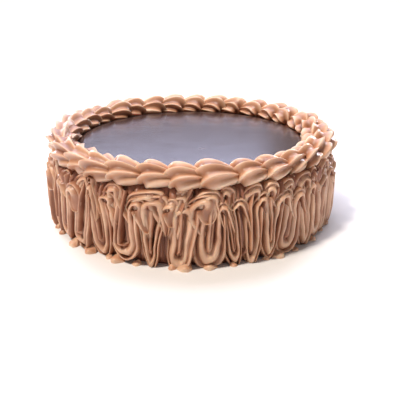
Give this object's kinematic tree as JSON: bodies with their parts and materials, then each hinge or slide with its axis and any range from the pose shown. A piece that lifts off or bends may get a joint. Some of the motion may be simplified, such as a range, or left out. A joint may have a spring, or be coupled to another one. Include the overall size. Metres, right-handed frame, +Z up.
{
  "type": "chocolate cake",
  "caption": "Round uncut chocolate cake with a ridged zigzag of piped buttercream round its side, a border of piped shells and a smooth glaze on top.",
  "frame": {"origin": "centre of the flat underside, where the cake rests", "axes": "+Z up through the middle of the cake, -Y towards the front of the picture, +X to its right"},
  "size_m": [0.2591, 0.2596, 0.0818],
  "materials": {
    "buttercream": "light chocolate buttercream, satin, piped through a star tip",
    "chocolate_glaze": "smooth poured chocolate glaze, semi-gloss"
  },
  "bodies": {
    "root": {"cake": "buttercream", "chocolate_top": "chocolate_glaze", "border_shell_01": "buttercream", "border_shell_02": "buttercream", "border_shell_03": "buttercream", "border_shell_04": "buttercream", "border_shell_05": "buttercream", "border_shell_06": "buttercream", "border_shell_07": "buttercream", "border_shell_08": "buttercream", "border_shell_09": "buttercream", "border_shell_10": "buttercream", "border_shell_11": "buttercream", "border_shell_12": "buttercream", "border_shell_13": "buttercream", "border_shell_14": "buttercream", "border_shell_15": "buttercream", "border_shell_16": "buttercream", "border_shell_17": "buttercream", "border_shell_18": "buttercream", "border_shell_19": "buttercream", "border_shell_20": "buttercream", "border_shell_21": "buttercream", "border_shell_22": "buttercream", "border_shell_23": "buttercream", "border_shell_24": "buttercream", "border_shell_25": "buttercream", "border_shell_26": "buttercream", "border_shell_27": "buttercream", "border_shell_28": "buttercream", "border_shell_29": "buttercream", "border_shell_30": "buttercream", "border_shell_31": "buttercream", "border_shell_32": "buttercream"}
  },
  "joints": []
}
